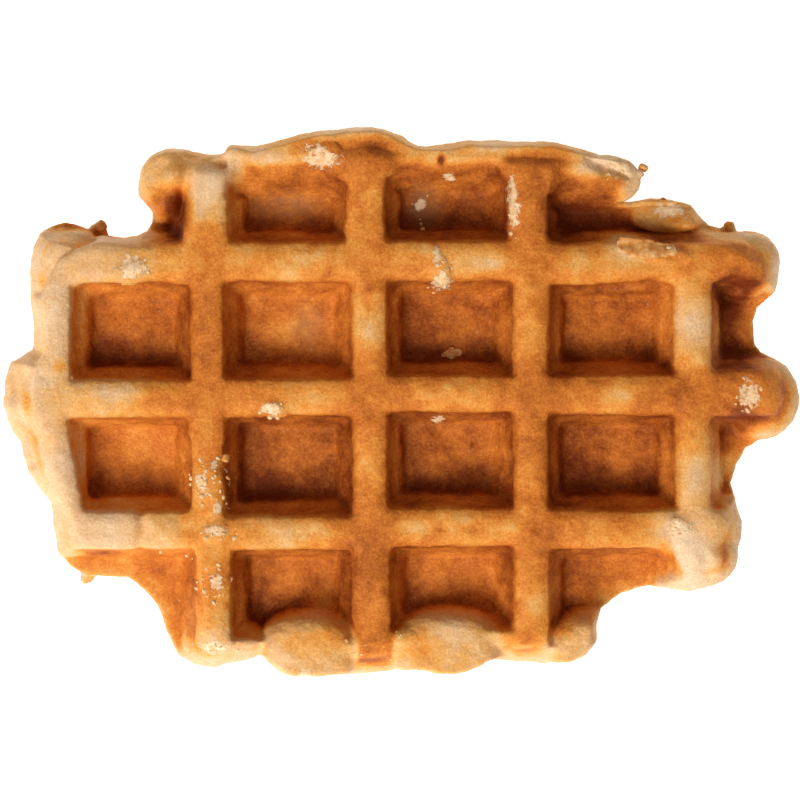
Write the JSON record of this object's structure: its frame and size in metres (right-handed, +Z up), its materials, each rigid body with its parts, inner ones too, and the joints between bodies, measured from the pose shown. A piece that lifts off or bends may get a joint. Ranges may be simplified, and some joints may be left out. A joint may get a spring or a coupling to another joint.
{
  "type": "waffle",
  "caption": "Thick oblong waffle with an uneven rolled rim and a grid of deep square pockets on both faces.",
  "frame": {"origin": "middle of the underside of the box that just holds the waffle", "axes": "+X along the longer side, to the right in the picture; +Y along the shorter side, up in the picture; +Z up, out of the shown face"},
  "size_m": [0.1402, 0.0966, 0.0249],
  "materials": {
    "crust": null
  },
  "bodies": {
    "root": {"waffle": "crust"}
  },
  "joints": []
}
